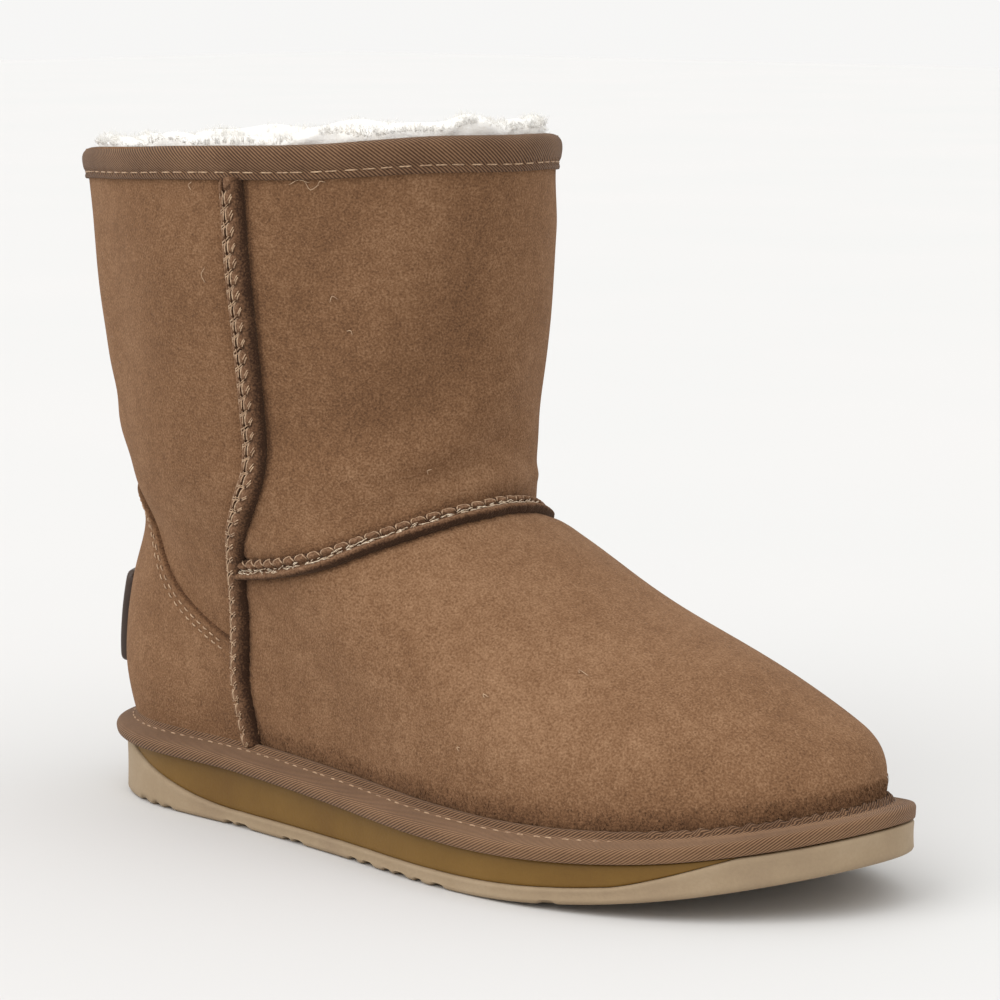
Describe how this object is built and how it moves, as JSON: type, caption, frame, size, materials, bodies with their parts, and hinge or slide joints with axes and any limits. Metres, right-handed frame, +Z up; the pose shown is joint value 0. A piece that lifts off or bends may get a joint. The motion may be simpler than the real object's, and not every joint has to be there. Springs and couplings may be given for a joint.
{
  "type": "sheepskin boot",
  "caption": "Ankle-high suede boot for the right foot, lined with fleece, with raised side and vamp seams, taped edges and a flat two-colour foam sole.",
  "frame": {"origin": "centre of the boot's box on the floor", "axes": "+X towards the toe, +Y towards the inner side of the foot, +Z up"},
  "size_m": [0.2866, 0.1184, 0.2124],
  "materials": {
    "tan_foam": "matte moulded foam, tan",
    "olive_foam": "matte foam panel, olive brown",
    "twill_tape": "woven twill tape, brown",
    "suede": "brushed suede, chestnut",
    "seam_suede": "suede seam with overlock thread",
    "dark_leather": "dark smooth leather, left plain",
    "fleece": "cream sheepskin fleece"
  },
  "bodies": {
    "root": {"outsole": "tan_foam", "midsole": "olive_foam", "sole_binding": "twill_tape", "insole": "fleece", "upper": "suede", "heel_counter": "suede", "heel_label": "dark_leather", "collar_binding": "twill_tape", "side_seam_outer": "seam_suede", "side_seam_inner": "seam_suede", "vamp_seam": "seam_suede", "wool_lining": "fleece"}
  },
  "joints": []
}
